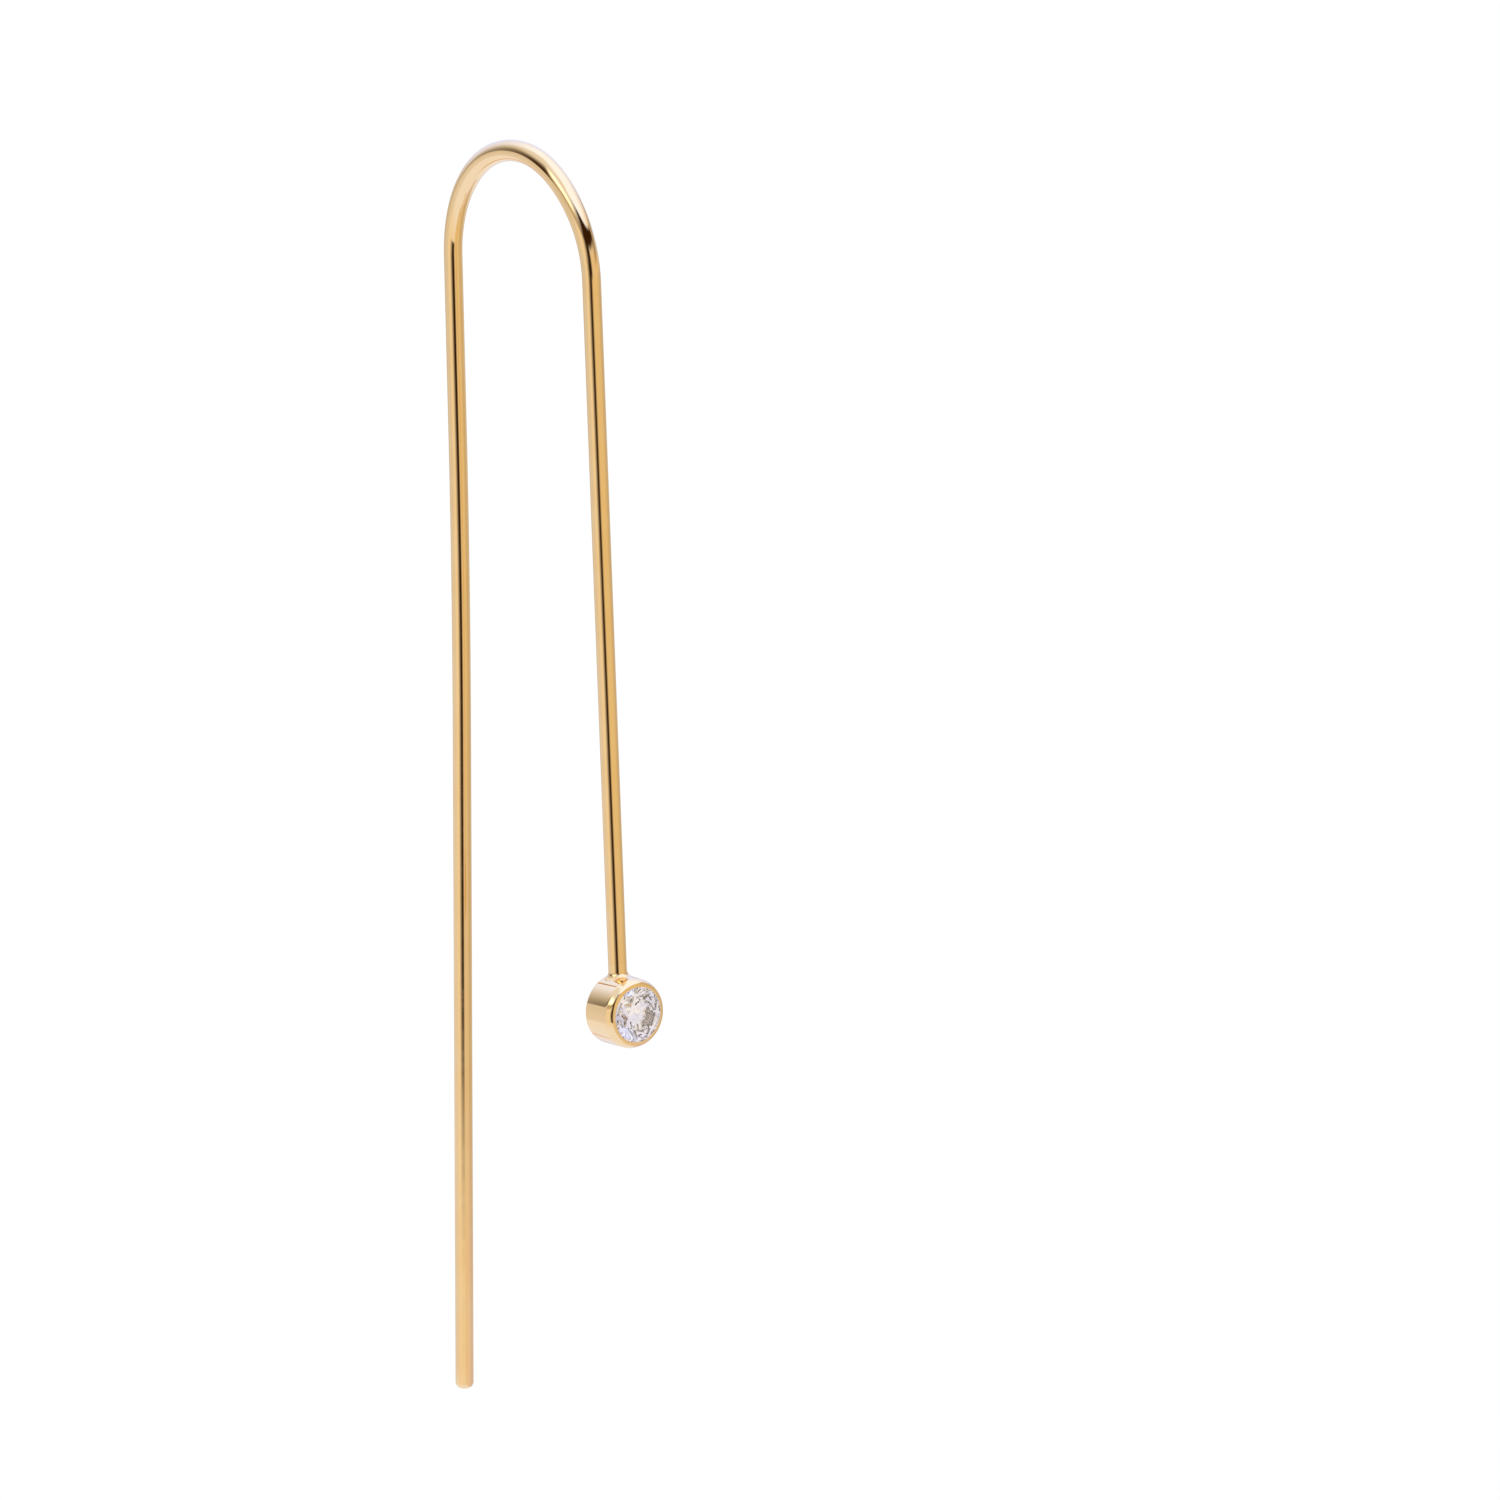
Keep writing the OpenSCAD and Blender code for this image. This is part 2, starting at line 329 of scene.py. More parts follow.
cup = bmesh.new()
point = cup.verts.new((0, 0, 0))
point = lined(cup, point, CUP_R - BACK_ROUND, 0)
point = arced(cup, point, CUP_R - BACK_ROUND, BACK_ROUND, math.pi / 2, 8)
point = lined(cup, point, CUP_R, CUP_SIDE)
heading = 0.0
for arc_radius, until in LIP_ARCS:
    to_centre = Vector((math.cos(heading), 0, math.sin(heading))) * arc_radius
    centre = point.co - to_centre
    point = arced(cup, point, centre.x, centre.z, math.radians(until) - heading, 12)
    heading = math.radians(until)
point = lined(cup, point, OPENING_R, point.co.z)
point = lined(cup, point, OPENING_R, GROOVE_TOP + (CAVITY_R - OPENING_R) * math.tan(CROWN_ANGLE))
point = lined(cup, point, CAVITY_R, GROOVE_TOP)
point = lined(cup, point, CAVITY_R, SEAT_TOP)
point = lined(cup, point, BORE_R, SEAT_TOP - (CAVITY_R - BORE_R) * math.tan(PAVILION_ANGLE))
point = lined(cup, point, BORE_R, BACK_THICK)
point = lined(cup, point, 0, BACK_THICK)
print("half section:", [(round(v.co.x / MM, 3), round(v.co.z / MM, 3)) for v in cup.verts])

bmesh.ops.spin(
    cup, geom=list(cup.verts) + list(cup.edges), cent=(0, 0, 0), axis=(0, 0, 1), dvec=(0, 0, 0),
    angle=math.tau, steps=CUP_STEPS, use_merge=True, use_normal_flip=False, use_duplicate=False,
)
bmesh.ops.remove_doubles(cup, verts=cup.verts, dist=0.0005 * MM)
bmesh.ops.recalc_face_normals(cup, faces=cup.faces)
hard = [e for e in cup.edges if len(e.link_faces) == 2 and e.calc_face_angle() > math.radians(25)]
bmesh.ops.bevel(
    cup, geom=hard, offset=EASE, offset_type="OFFSET", segments=3, profile=0.5, affect="EDGES", material=-1,
)
for face in cup.faces:
    place = face.calc_center_median()
    outward = Vector((place.x, place.y, 0))
    bottom_of_bore = outward.length < BORE_R and face.normal.z > 0.5 and place.z < CUP_SIDE
    if bottom_of_bore or (outward.length and face.normal.dot(outward.normalized()) < -0.1):
        face.material_index = SEAT
    else:
        face.material_index = LIP if place.z > CUP_SIDE else CUP
print("cup:", len(cup.faces), "faces, closed:", all(e.is_manifold for e in cup.edges))

# %% Bring the cup to the leg and make one gold piece of both
bmesh.ops.transform(cup, matrix=CUP_FRAME, verts=cup.verts)
cup_mesh = bpy.data.meshes.new("cup")
cup.to_mesh(cup_mesh)
cup.free()
gold.from_mesh(cup_mesh)
bpy.data.meshes.remove(cup_mesh)

gold_mesh = bpy.data.meshes.new("gold_wire_and_bezel")
gold.to_mesh(gold_mesh)
gold.free()
gold_mesh.shade_smooth()
gold_mesh.set_sharp_from_angle(angle=math.radians(35))
gold_piece = bpy.data.objects.new("gold_wire_and_bezel", gold_mesh)
bpy.context.scene.collection.objects.link(gold_piece)
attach(gold_piece, "root")
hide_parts("ear_wire_with_bezel")
print("gold piece:", len(gold_mesh.polygons), "faces")

# %% [markdown]
# ## Worked gold as one shared effect
#
# Polished gold is never a perfect mirror. Drawing leaves faint lines along a wire, turning leaves them round a cup,
# and the mop that polishes them away leaves a slow unevenness and a thin haze. All of it is the same effect at
# different sizes, so it is one node group, which every gold finish uses with its own values. The material stretches
# the coordinates so that the working lines run the right way. The group gives back a roughness, a height in metres
# for a bump, and a mask for slight differences of colour.

# %% Helpers that add and join shader nodes
def add_node(tree, kind, settings=None, **inputs):
    """Adds a node. An input is given by its name with _ for each space, as a value or as a socket to join to it."""
    node = tree.nodes.new(kind)
    for name, value in (settings or {}).items():
        setattr(node, name, value)
    for name, value in inputs.items():
        put(tree, node.inputs[name.replace("_", " ")], value)
    return node


def put(tree, socket, value):
    if isinstance(value, bpy.types.NodeSocket):
        tree.links.new(value, socket)
    else:
        socket.default_value = value


def calculate(tree, operation, *values):
    node = add_node(tree, "ShaderNodeMath", {"operation": operation})
    for socket, value in zip(node.inputs, values):
        put(tree, socket, value)
    return node.outputs[0]


def between(tree, value, start, end, low=0.0, high=1.0):
    """Goes from low to high, eased, as the value goes from start to end."""
    node = add_node(
        tree, "ShaderNodeMapRange", {"interpolation_type": "SMOOTHSTEP"},
        Value=value, From_Min=start, From_Max=end, To_Min=low, To_Max=high,
    )
    return node.outputs[0]


def mixed(tree, share, first, second):
    node = tree.nodes.new("ShaderNodeMix")
    node.data_type = "RGBA"
    for name, value in (("Factor_Float", share), ("A_Color", first), ("B_Color", second)):
        put(tree, next(i for i in node.inputs if i.identifier == name), value)
    return next(o for o in node.outputs if o.identifier == "Result_Color")


# %% Build the worked gold group
def worked_gold_group():
    tree = bpy.data.node_groups.new("worked_gold", "ShaderNodeTree")

    def socket(name, way, kind, value=None):
        made = tree.interface.new_socket(name, in_out=way, socket_type=kind)
        if value is not None:
            made.default_value = value

    socket("Surface", "INPUT", "NodeSocketVector")
    socket("Lines", "INPUT", "NodeSocketVector")
    socket("Polish", "INPUT", "NodeSocketFloat", 0.05)
    socket("Haze", "INPUT", "NodeSocketFloat", 0.03)
    socket("Line Depth", "INPUT", "NodeSocketFloat", 0.00000005)
    socket("Wave Depth", "INPUT", "NodeSocketFloat", 0.000001)
    socket("Roughness", "OUTPUT", "NodeSocketFloat")
    socket("Height", "OUTPUT", "NodeSocketFloat")
    socket("Tint", "OUTPUT", "NodeSocketFloat")
    given = tree.nodes.new("NodeGroupInput").outputs
    result = tree.nodes.new("NodeGroupOutput")

    waves = add_node(tree, "ShaderNodeTexNoise", Vector=given["Surface"], Scale=0.6 / MM, Detail=1.0).outputs[0]
    mist = add_node(tree, "ShaderNodeTexNoise", Vector=given["Surface"], Scale=2.2 / MM, Detail=3.0).outputs[0]
    lines = add_node(tree, "ShaderNodeTexNoise", Vector=given["Lines"], Scale=1.0, Detail=2.0).outputs[0]

    misted = between(tree, mist, 0.35, 0.75)
    hazed = calculate(tree, "MULTIPLY_ADD", misted, given["Haze"], given["Polish"])
    put(tree, result.inputs["Roughness"], calculate(tree, "MULTIPLY_ADD", lines, given["Haze"], hazed))
    waved = calculate(tree, "MULTIPLY", waves, given["Wave Depth"])
    put(tree, result.inputs["Height"], calculate(tree, "MULTIPLY_ADD", lines, given["Line Depth"], waved))
    put(tree, result.inputs["Tint"], between(tree, waves, 0.3, 0.7))
    return tree


WORKED_GOLD = worked_gold_group()
print("worked gold group:", [s.name for s in WORKED_GOLD.interface.items_tree])

# %% [markdown]
# ## The gold finishes
#
# The metal is the same pale yellow gold all over, and what differs is how each place was worked. The wire has drawn
# lines along it, and they are placed on the straightened coordinates, so they follow the arch. The cup has turned
# lines round its axis. The lip was rubbed over the stone with a burnisher, which leaves it the brightest and a little
# wavy along its length. The solder is a slightly redder alloy with a softer skin, and it fades into the wire. The
# seat under the stone is bright cut. What is seen of it through the stone is paler than the wire, so it is made with
# the thin white flash of rhodium that jewellers give a seat to keep a diamond white.

# %% Colours and a maker of gold materials
GOLD = (0.93, 0.64, 0.31, 1)
GOLD_DEEP = (0.92, 0.615, 0.285, 1)
SOLDER_GOLD = (0.93, 0.60, 0.26, 1)
FLASHED_GOLD = (0.98, 0.93, 0.86, 1)
PALE_GOLD = (0.96, 0.89, 0.80, 1)


def gold_material(name, surface, lines, polish, haze, line_depth, wave_depth):
    """Starts a gold material and returns it with its tree, the group's node and the shader."""
    material = bpy.data.materials.new(name)
    material.use_nodes = True
    tree = material.node_tree
    shader = tree.nodes["Principled BSDF"]
    shader.inputs["Metallic"].default_value = 1.0
    worked = tree.nodes.new("ShaderNodeGroup")
    worked.node_tree = WORKED_GOLD
    for socket_name, value in (
        ("Surface", surface(tree)), ("Lines", lines(tree)), ("Polish", polish), ("Haze", haze),
        ("Line Depth", line_depth), ("Wave Depth", wave_depth),
    ):
        put(tree, worked.inputs[socket_name], value)
    put(tree, shader.inputs["Roughness"], worked.outputs["Roughness"])
    put(tree, shader.inputs["Base Color"], mixed(tree, worked.outputs["Tint"], GOLD, GOLD_DEEP))
    bump = add_node(tree, "ShaderNodeBump", Height=worked.outputs["Height"], Distance=1.0)
    put(tree, shader.inputs["Normal"], bump.outputs[0])
    return material, tree, worked, shader


# %% Coordinates that the finishes are placed on
def along_the_wire(tree):
    return add_node(tree, "ShaderNodeAttribute", {"attribute_name": "straightened"}).outputs["Vector"]


def on_the_cup(tree):
    """Places measured from the cup's back face, with the cup's axis along Z."""
    where = tree.nodes.new("ShaderNodeTexCoord").outputs["Object"]
    return add_node(
        tree, "ShaderNodeMapping", {"vector_type": "TEXTURE"},
        Vector=where, Location=CUP_FRAME.translation, Rotation=CUP_FRAME.to_euler(),
    ).outputs[0]


def stretched(tree, vector, across, along):
    """Coordinates in which lines of this spacing across and length along Z are one unit each way."""
    return add_node(
        tree, "ShaderNodeMapping", Vector=vector, Scale=(1 / across, 1 / across, 1 / along),
    ).outputs[0]


def drawn_lines(tree):
    return stretched(tree, along_the_wire(tree), 0.06 * MM, 6 * MM)


def turned_lines(tree):
    return stretched(tree, on_the_cup(tree), 4 * MM, 0.05 * MM)


def burnished_marks(tree):
    return stretched(tree, on_the_cup(tree), 0.5 * MM, 0.5 * MM)


# %% Make the gold finishes
wire_gold, *_ = gold_material("drawn_wire", along_the_wire, drawn_lines, 0.045, 0.03, 1e-7, 1.5e-6)
cup_gold, *_ = gold_material("turned_cup", on_the_cup, turned_lines, 0.045, 0.03, 1e-7, 1.5e-6)
lip_gold, *_ = gold_material("burnished_lip", on_the_cup, burnished_marks, 0.03, 0.02, 1e-6, 2e-6)
solder_gold, tree, worked, shader = gold_material(
    "polished_solder", on_the_cup, burnished_marks, 0.06, 0.05, 1.5e-6, 4e-6,
)
parts = add_node(tree, "ShaderNodeSeparateXYZ", Vector=along_the_wire(tree)).outputs
fade = between(tree, parts[2], solder_start - 0.25 * MM, solder_start)
put(tree, shader.inputs["Base Color"], mixed(tree, fade, SOLDER_GOLD, GOLD))
seat_gold, tree, worked, shader = gold_material("bright_cut_seat", on_the_cup, turned_lines, 0.06, 0.04, 2e-7, 1e-6)
put(tree, shader.inputs["Base Color"], mixed(tree, worked.outputs["Tint"], FLASHED_GOLD, PALE_GOLD))
for material in (wire_gold, solder_gold, cup_gold, lip_gold, seat_gold):
    gold_mesh.materials.append(material)
print("gold finishes:", [m.name for m in gold_mesh.materials])

# %% [markdown]
# ## The cut diamond
#
# A diamond is clear, bends light more than any other gem, and is polished flat on every facet. What it shows is
# the light tent and its own gold cup, broken up by the facets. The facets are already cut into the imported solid, so
# the material only has to be right: fully clear, with an index of 2.42 and mirror smooth facets. The girdle is left
# frosted by the cutter, who only grinds it, and that is a roughness painted by the distance from the stone's axis.

# %% Make the diamond's material
DIAMOND_INDEX = 2.42

diamond = bpy.data.materials.new("cut_diamond")
diamond.use_nodes = True
tree = diamond.node_tree
shader = tree.nodes["Principled BSDF"]
shader.inputs["IOR"].default_value = DIAMOND_INDEX
shader.inputs["Transmission Weight"].default_value = 1.0
parts = add_node(tree, "ShaderNodeSeparateXYZ", Vector=on_the_cup(tree)).outputs
squares = calculate(tree, "MULTIPLY_ADD", parts[0], parts[0], calculate(tree, "MULTIPLY", parts[1], parts[1]))
from_axis = calculate(tree, "SQRT", squares)
frosted = between(tree, from_axis, STONE_R - 0.02 * MM, STONE_R - 0.008 * MM, 0.0, 0.4)
put(tree, shader.inputs["Roughness"], frosted)
CLEAR = (1.0, 1.0, 1.0, 1)
FAINTLY_GREY = (0.96, 0.955, 0.97, 1)
cloud = add_node(tree, "ShaderNodeTexNoise", Vector=on_the_cup(tree), Scale=1.5 / MM, Detail=2.0).outputs[0]
put(tree, shader.inputs["Base Color"], mixed(tree, between(tree, cloud, 0.4, 0.7), CLEAR, FAINTLY_GREY))
stone.data.materials.clear()
stone.data.materials.append(diamond)
print("stone:", len(stone.data.polygons), "triangles in its facets, index", DIAMOND_INDEX)

# %% [markdown]
# ## The camera
#
# The camera's place was fitted to the photograph: points along both legs, the arch, the tip and the rims of the cup
# fall where they should from 450 mm away with a long lens, turned 52 degrees round the earring and 15 degrees above
# it. The lens is long, so that both legs have nearly the same width, as they do in the photograph.

# %% Place the camera
AZIMUTH = math.radians(52.45)
ELEVATION = math.radians(14.765)
ROLL = math.radians(0.18)
DISTANCE = 450 * MM
AIM = Vector((5.974, 7.771, -26.159)) * MM

back = Vector((
    math.sin(AZIMUTH) * math.cos(ELEVATION), -math.cos(AZIMUTH) * math.cos(ELEVATION), math.sin(ELEVATION),
))
level_right = Vector((math.cos(AZIMUTH), math.sin(AZIMUTH), 0))
level_up = back.cross(level_right)
right = math.cos(ROLL) * level_right + math.sin(ROLL) * level_up
up = back.cross(right)
camera_data = bpy.data.cameras.new("camera")
camera_data.sensor_width = 36
camera_data.lens = 250
camera_data.clip_start = 10 * MM
camera_data.clip_end = 20
camera = bpy.data.objects.new("camera", camera_data)
camera.matrix_world = Matrix.Translation(AIM + back * DISTANCE) @ Matrix((right, up, back)).transposed().to_4x4()
bpy.context.scene.collection.objects.link(camera)
bpy.context.scene.camera = camera
print("camera at mm:", [round(c / MM, 1) for c in camera.matrix_world.translation])

# %% [markdown]
# ## The studio that the gold reflects
#
# Polished metal shows what stands round it, so a jeweller's photographer builds the reflections. The earring hangs
# over a white sweep. A warm paper card stands close on its right, a low wall of white paper stands on its left, and
# the dark stand of the camera is far in front, where it gives the wire its thin dark line. These are surfaces in the
# scene, because their nearness makes their reflections slide and end along the legs, and puts them in another place
# on the cup than on the crown. All that is far off is left to the world. The camera sees none of it.

# %% Lay the floor
FLOOR_Z = -76 * MM


def stage_object(name, bm, material, hidden_from_camera=True):
    """Adds a thing of the studio. The sweep is seen by the camera alone, and the others by polished gold alone."""
    mesh = bpy.data.meshes.new(name)
    bm.to_mesh(mesh)
    bm.free()
    mesh.materials.append(material)
    made = bpy.data.objects.new(name, mesh)
    bpy.context.scene.collection.objects.link(made)
    made.visible_camera = not hidden_from_camera
    made.visible_diffuse = not hidden_from_camera
    made.visible_shadow = not hidden_from_camera
    made.visible_glossy = hidden_from_camera
    made.visible_transmission = False
    print("studio:", name, "of", len(mesh.polygons), "faces")
    return made


sweep = bpy.data.materials.new("white_sweep")
sweep.use_nodes = True
paper = sweep.node_tree.nodes["Principled BSDF"]
paper.inputs["Base Color"].default_value = (0.88, 0.88, 0.88, 1)
paper.inputs["Roughness"].default_value = 1.0
paper.inputs["Specular IOR Level"].default_value = 0.0
floor = bmesh.new()
bmesh.ops.create_grid(floor, x_segments=1, y_segments=1, size=3)
bmesh.ops.translate(floor, verts=floor.verts, vec=(0, 0, FLOOR_Z))
stage_object("floor", floor, sweep, hidden_from_camera=False)


# %% Tools for light: a compass, soft windows, and walls that glow
def compass(tree, vector):
    """The bearing in degrees, 0 toward the camera and positive to its right, and the height angle in degrees."""
    turned = add_node(
        tree, "ShaderNodeVectorRotate", {"rotation_type": "Z_AXIS"}, Vector=vector, Angle=-AZIMUTH,
    ).outputs[0]
    parts = add_node(tree, "ShaderNodeSeparateXYZ", Vector=turned).outputs
    nearer = calculate(tree, "MULTIPLY", parts[1], -1.0)
    bearing = calculate(tree, "DEGREES", calculate(tree, "ARCTAN2", parts[0], nearer))
    squares = calculate(tree, "MULTIPLY_ADD", parts[0], parts[0], calculate(tree, "MULTIPLY", nearer, nearer))
    height = calculate(tree, "DEGREES", calculate(tree, "ARCTAN2", parts[2], calculate(tree, "SQRT", squares)))
    return bearing, height


def window(tree, value, opens, open_from, open_to, closes):
    """1 between the two middle values, easing to 0 at the outer two."""
    rise = between(tree, value, opens, open_from)
    fall = between(tree, value, open_to, closes, 1.0, 0.0)
    return calculate(tree, "MULTIPLY", rise, fall)


def ring_wall(radius, bottom, top, start, end, steps=32):
    """An upright wall round the earring from one bearing to another, in degrees."""
    bm = bmesh.new()
    angle = AZIMUTH + math.radians(start)
    foot = bm.verts.new((radius * math.sin(angle), -radius * math.cos(angle), bottom))
    head = bm.verts.new((foot.co.x, foot.co.y, top))
    edge = bm.edges.new((foot, head))
    bmesh.ops.spin(
        bm, geom=[foot, head, edge], cent=(0, 0, 0), axis=(0, 0, 1), dvec=(0, 0, 0),
        angle=math.radians(end - start), steps=steps, use_merge=False, use_normal_flip=False, use_duplicate=False,
    )
    return bm


def glowing(name):
    """Starts a material of plain light that can be partly clear. Returns it, its tree, the light and the blend."""
    material = bpy.data.materials.new(name)
    material.use_nodes = True
    tree = material.node_tree
    tree.nodes.clear()
    light = tree.nodes.new("ShaderNodeEmission")
    clear = tree.nodes.new("ShaderNodeBsdfTransparent")
    blend = tree.nodes.new("ShaderNodeMixShader")
    output = tree.nodes.new("ShaderNodeOutputMaterial")
    tree.links.new(clear.outputs[0], blend.inputs[1])
    tree.links.new(light.outputs[0], blend.inputs[2])
    tree.links.new(blend.outputs[0], output.inputs[0])
    return material, tree, light, blend


def place_on_wall(tree):
    """The bearing in degrees and the level in metres of a place on a wall."""
    where = tree.nodes.new("ShaderNodeTexCoord").outputs["Object"]
    bearing, _ = compass(tree, where)
    return bearing, add_node(tree, "ShaderNodeSeparateXYZ", Vector=where).outputs[2]


# %% Stand the dark camera stand far in front, a little wider where the camera's body is
STAND_R = 600 * MM
STAND_FOOT = -242 * MM
STAND_TOP = 300 * MM
STAND_ENDS = (-52, 34)
STAND_BODY = (-150 * MM, -60 * MM, 30 * MM, 110 * MM)
BODY_WIDENS = 5.0
STAND_BLACK = (0.03, 0.012, 0.002, 1)

stand_black, tree, light, blend = glowing("camera_stand")
light.inputs["Color"].default_value = STAND_BLACK
bearing, level = place_on_wall(tree)
foot = between(tree, level, STAND_FOOT, STAND_FOOT + 30 * MM)
widened = calculate(tree, "MULTIPLY_ADD", window(tree, level, *STAND_BODY), BODY_WIDENS, bearing)
left_side = between(tree, widened, -45, -2)
right_side = between(tree, bearing, 8, 30, 1.0, 0.0)
sides = calculate(tree, "MULTIPLY", left_side, right_side)
put(tree, blend.inputs["Fac"], calculate(tree, "MULTIPLY", sides, foot))
stage_object("camera_stand", ring_wall(STAND_R, STAND_FOOT, STAND_TOP, *STAND_ENDS), stand_black)

# %% Stand the warm card close on the right, leaning away toward its foot, and paler and shaded there
CARD_R = 35 * MM
CARD_FOOT = -112 * MM
CARD_TOP = -3 * MM
CARD_ENDS = (1, 150)
CARD_WIDE = (2, 24, 112, 140)
CARD_PALE_FROM = -50 * MM
CARD_PALE_TO = -68 * MM
WARM = (0.85, 0.76, 0.55, 1)
WARM_PALE = (0.82, 0.76, 0.67, 1)
PALE_FOOT = (0.88, 0.84, 0.88, 1)
WARM_SHADE = (0.64, 0.59, 0.52, 1)
PALE_SHADE = (0.75, 0.72, 0.92, 1)

card_paper, tree, light, blend = glowing("warm_card")
bearing, level = place_on_wall(tree)
down_pale = mixed(tree, between(tree, level, -30 * MM, -48 * MM), WARM, WARM_PALE)
at_foot = between(tree, level, CARD_PALE_FROM, CARD_PALE_TO)
down_pale = mixed(tree, at_foot, down_pale, PALE_FOOT)
shade = mixed(tree, at_foot, WARM_SHADE, PALE_SHADE)
put(tree, light.inputs["Color"], mixed(tree, between(tree, bearing, 60, 108), down_pale, shade))
ends = window(tree, level, CARD_FOOT, CARD_FOOT + 20 * MM, CARD_TOP - 4 * MM, CARD_TOP)
lean = between(tree, level, -12 * MM, -45 * MM, 0.0, 8.0)
lean = calculate(tree, "ADD", lean, between(tree, level, -52 * MM, -74 * MM, 0.0, 22.0))
leaning = calculate(tree, "SUBTRACT", bearing, lean)
put(tree, blend.inputs["Fac"], calculate(tree, "MULTIPLY", window(tree, leaning, *CARD_WIDE), ends))
stage_object("warm_card", ring_wall(CARD_R, CARD_FOOT, CARD_TOP, *CARD_ENDS), card_paper)

# %% Stand the low white wall on the left, its top edge sloping
WALL_R = 183 * MM
WALL_FOOT = -130 * MM
WALL_TOP = 70 * MM
WALL_ENDS = (-160, -60)
WALL_WIDE = (-158, -132, -84, -62)
WALL_SLOPE = 1.75 * MM
WALL_WHITE = (0.77, 0.81, 0.92, 1)
WALL_WHITE_LOW = (0.85, 0.90, 1.08, 1)

wall_paper, tree, light, blend = glowing("low_wall")
bearing, level = place_on_wall(tree)
down_white = mixed(tree, between(tree, level, -30 * MM, -95 * MM), WALL_WHITE, WALL_WHITE_LOW)
put(tree, light.inputs["Color"], down_white)
sloping = calculate(tree, "MULTIPLY_ADD", bearing, -WALL_SLOPE, level)
top_edge = between(tree, sloping, 169 * MM, 174 * MM, 1.0, 0.0)
foot_edge = between(tree, level, WALL_FOOT, WALL_FOOT + 18 * MM)
sides = window(tree, bearing, *WALL_WIDE)
edges = calculate(tree, "MULTIPLY", top_edge, foot_edge)
put(tree, blend.inputs["Fac"], calculate(tree, "MULTIPLY", sides, edges))
stage_object("low_wall", ring_wall(WALL_R, WALL_FOOT, WALL_TOP, *WALL_ENDS), wall_paper)

# %% [markdown]
# ## The world beyond the cards
#
# Overhead and behind, the studio is bright and a little cool. A large soft light is high on the left, and beside it
# is a dark gap. The unlit room is behind the camera and to its right. Below the horizon all is white paper, shaded
# toward the back. Rays that go through the stone see a plainer tent, with only the soft light and the lens in it,
# because the card and the wall would fill the facets with dark shapes. The camera sees plain white, and the sweep is
# lit by plain white, so that its colour doesn't follow the tints which the gold needs.

# %% Colours of the far studio
OVERHEAD = (1.1, 1.45, 2.5, 1)
OVERHEAD_LEFT = (0.88, 1.0, 1.35, 1)
HORIZON = (0.95, 0.94, 0.92, 1)
HORIZON_LEFT = (0.80, 0.86, 0.98, 1)
HORIZON_RIGHT = (0.87, 0.78, 0.62, 1)
HORIZON_BACK = (0.66, 0.64, 0.62, 1)
BACK_SKY = (0.86, 1.05, 1.8, 1)
BELOW = (0.96, 1.08, 1.45, 1)
DIM_RIGHT = (0.45, 0.40, 0.34, 1)
DARK_GAP = (0.06, 0.03, 0.01, 1)
UNDER_LIGHT = (0.56, 0.53, 0.50, 1)
SOFT_LIGHT = (2.4, 2.5, 2.7, 1)
DARK_ROOM = (0.04, 0.016, 0.003, 1)
TENT_LOW = (1.0, 0.91, 0.86, 1)
TENT_HIGH = (0.78, 0.75, 0.92, 1)
WHITE = (1.0, 1.0, 1.0, 1)
SWEEP_LIGHT = (1.15, 1.15, 1.15, 1)

# %% Where the far things stand, in degrees: each opens, is full from and to, and closes
LEFT_FLOOR_WIDE = (-150, -125, -90, -60)
LEFT_SKY_WIDE = (-140, -112, -30, -5)
DIM_RIGHT_WIDE = (55, 95, 140, 155)
DIM_RIGHT_HIGH = (2, 11, 18, 25)
DARK_GAP_WIDE = (-137, -92, -80, -76)
DARK_GAP_HIGH = (-18, -10, 6, 42)
SOFT_LIGHT_WIDE = (-79, -66, -50, -24)
UNDER_LIGHT_WIDE = (-84, -78, -40, -15)
UNDER_LIGHT_HIGH = (-9, -2, 4, 9)
DARK_ROOM_WIDE = (-42, -5, 102, 114)
LENS_WIDE = (-18, -12, 12, 18)
LENS_HIGH = (-1, 5, 27, 33)

# %% Start the world
studio = bpy.data.worlds.new("studio")
bpy.context.scene.world = studio
studio.use_nodes = True
studio.cycles.sampling_method = "NONE"
tree = studio.node_tree
tree.nodes.clear()
bearing, height = compass(tree, tree.nodes.new("ShaderNodeTexCoord").outputs["Generated"])
aside = calculate(tree, "ABSOLUTE", bearing)


def laid_over(under, share_wide, share_high, light):
    """Lays a light or a dark thing over the studio where both shares are 1."""
    return mixed(tree, calculate(tree, "MULTIPLY", share_wide, share_high), under, light)


# %% The horizon, the floor and the light overhead
colour = mixed(tree, between(tree, bearing, -56, -88), HORIZON, HORIZON_LEFT)
colour = mixed(tree, between(tree, bearing, 12, 30), colour, HORIZON_RIGHT)
colour = mixed(tree, between(tree, aside, 110, 145), colour, HORIZON_BACK)
colour = mixed(tree, between(tree, height, -14, -44), colour, BELOW)
colour = laid_over(colour, window(tree, bearing, *LEFT_FLOOR_WIDE), between(tree, height, -10, -27), BELOW)
colour = laid_over(colour, between(tree, aside, 108, 138), between(tree, height, -8, 8), BACK_SKY)
colour = laid_over(colour, window(tree, bearing, *DIM_RIGHT_WIDE), window(tree, height, *DIM_RIGHT_HIGH), DIM_RIGHT)
rising = mixed(tree, window(tree, bearing, *LEFT_SKY_WIDE), OVERHEAD, OVERHEAD_LEFT)
rising = mixed(tree, between(tree, height, 66, 85), rising, OVERHEAD)
colour = mixed(tree, between(tree, height, 12, 60), colour, rising)

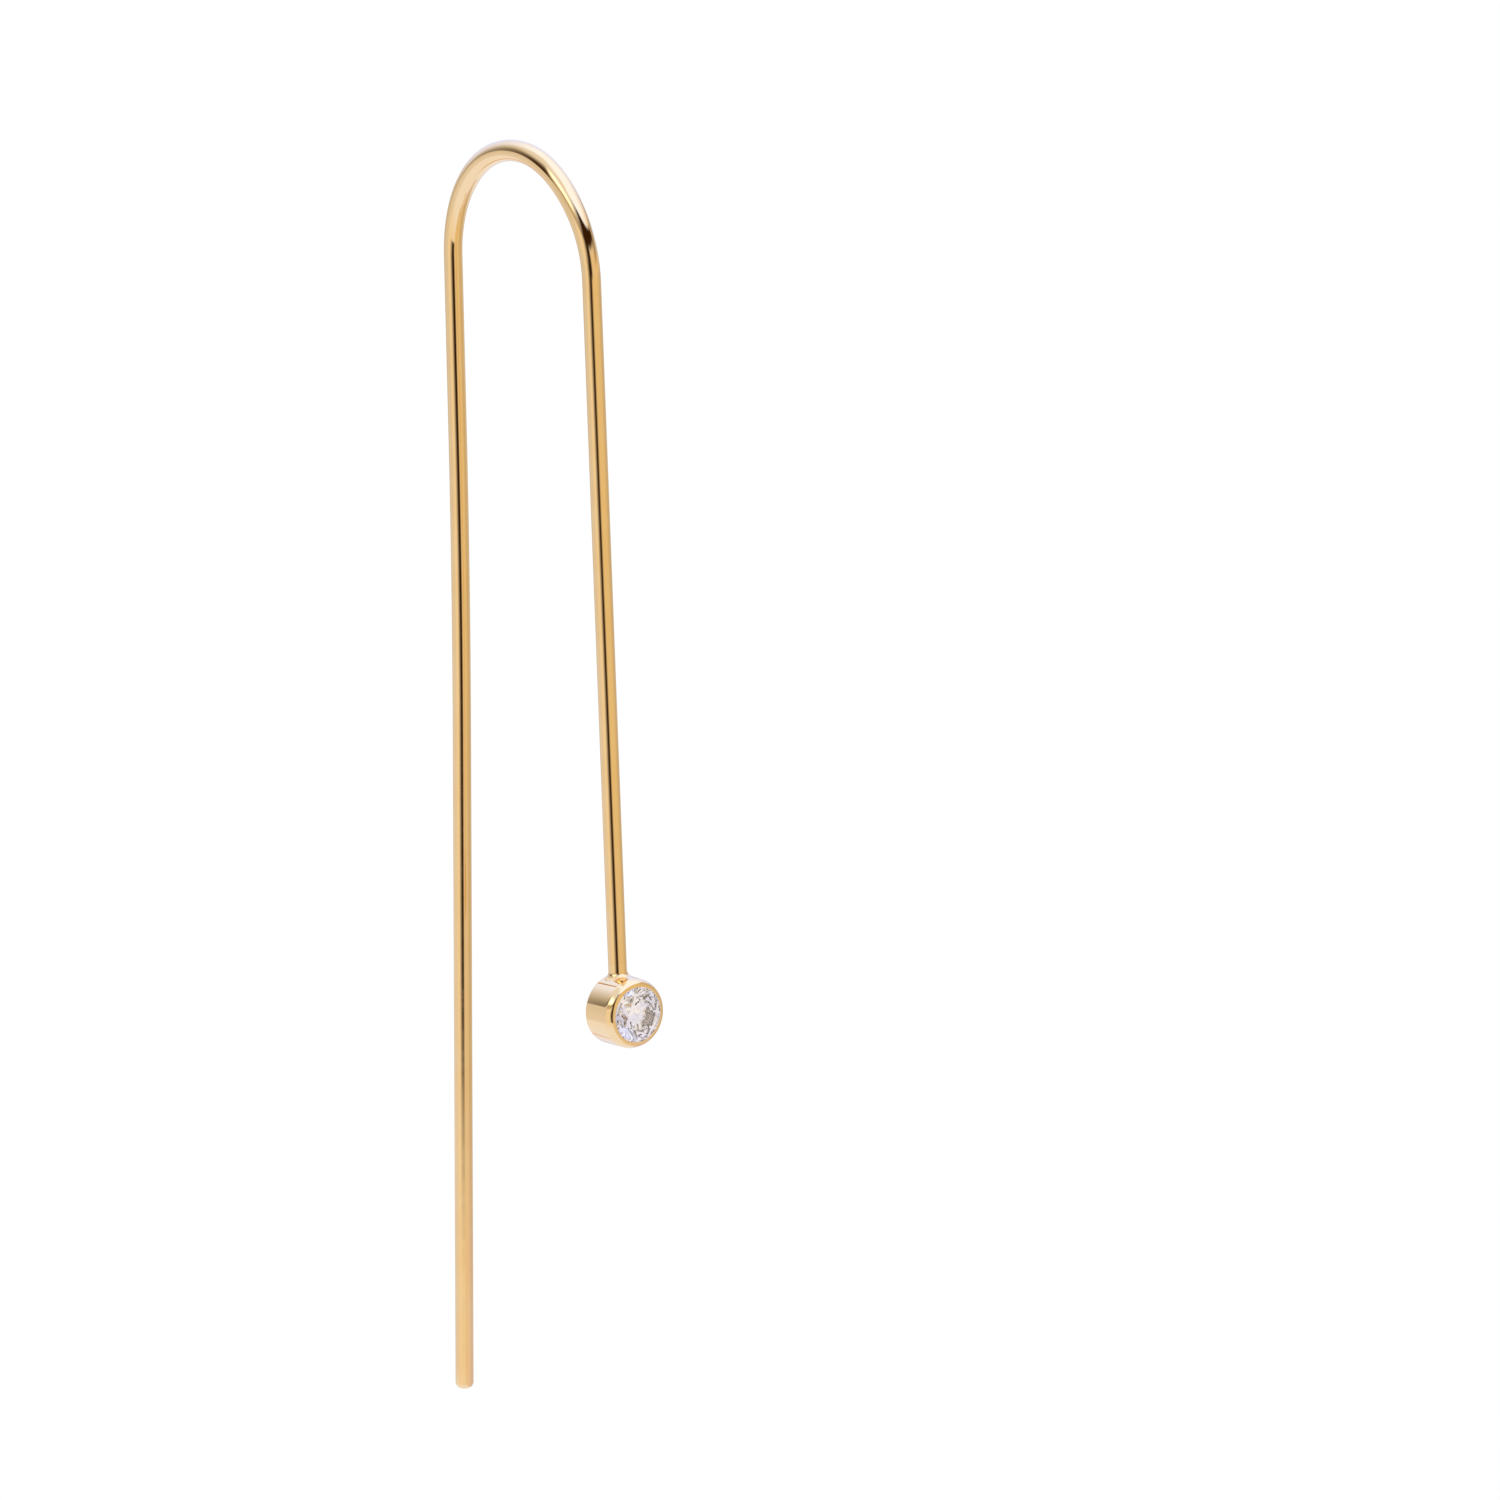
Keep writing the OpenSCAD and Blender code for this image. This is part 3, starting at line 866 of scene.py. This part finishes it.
# %% The dark gap, and the soft light beside it with a dim lower edge
over_gap = calculate(tree, "SUBTRACT", height, between(tree, bearing, -104, -76, 0.0, 16.0))
gap_wide = window(tree, bearing, *DARK_GAP_WIDE)
colour = laid_over(colour, gap_wide, window(tree, over_gap, *DARK_GAP_HIGH), DARK_GAP)
over_edge = calculate(tree, "SUBTRACT", height, calculate(tree, "MULTIPLY_ADD", bearing, 0.23, 34.0))
under_wide = window(tree, bearing, *UNDER_LIGHT_WIDE)
colour = laid_over(colour, under_wide, window(tree, over_edge, *UNDER_LIGHT_HIGH), UNDER_LIGHT)
under_top = calculate(tree, "MULTIPLY_ADD", bearing, 0.15, height)
above_edge = between(tree, over_edge, 3.5, 15)
light_high = calculate(tree, "MULTIPLY", above_edge, between(tree, under_top, 30, 43, 1.0, 0.0))
light_wide = window(tree, bearing, *SOFT_LIGHT_WIDE)
colour = laid_over(colour, light_wide, light_high, SOFT_LIGHT)

# %% The unlit room, which leans to the right as it rises
leaning = calculate(tree, "MULTIPLY_ADD", height, -0.55, calculate(tree, "ADD", bearing, 16.5))
room_foot = between(tree, calculate(tree, "ADD", height, between(tree, bearing, 60, 110, 0.0, 5.0)), 19, 27)
room_top = between(tree, calculate(tree, "MULTIPLY_ADD", bearing, 0.28, height), 53, 59, 1.0, 0.0)
room_high = calculate(tree, "MULTIPLY", room_foot, room_top)
colour = laid_over(colour, window(tree, leaning, *DARK_ROOM_WIDE), room_high, DARK_ROOM)

# %% The plainer tent round the stone, and the white that the camera and the sweep get
tent = mixed(tree, between(tree, height, -30, 50), TENT_LOW, TENT_HIGH)
tent = laid_over(tent, window(tree, bearing, *LENS_WIDE), window(tree, height, *LENS_HIGH), DARK_ROOM)
tent = laid_over(tent, light_wide, light_high, SOFT_LIGHT)
ray = tree.nodes.new("ShaderNodeLightPath").outputs
colour = mixed(tree, ray["Is Transmission Ray"], colour, tent)
colour = mixed(tree, ray["Is Diffuse Ray"], colour, SWEEP_LIGHT)
colour = mixed(tree, ray["Is Camera Ray"], colour, WHITE)
sky = add_node(tree, "ShaderNodeBackground", Color=colour, Strength=1.0)
tree.links.new(sky.outputs[0], tree.nodes.new("ShaderNodeOutputWorld").inputs[0])
print("world of", len(tree.nodes), "nodes")

# %% Set how colours are shown, and follow light far, because it turns many times between the stone and its seat
MOST_TURNS = 48

scene = bpy.context.scene
scene.view_settings.view_transform = "Standard"
scene.view_settings.look = "None"
scene.cycles.max_bounces = MOST_TURNS
scene.cycles.glossy_bounces = MOST_TURNS
scene.cycles.transmission_bounces = MOST_TURNS
scene.cycles.transparent_max_bounces = 24
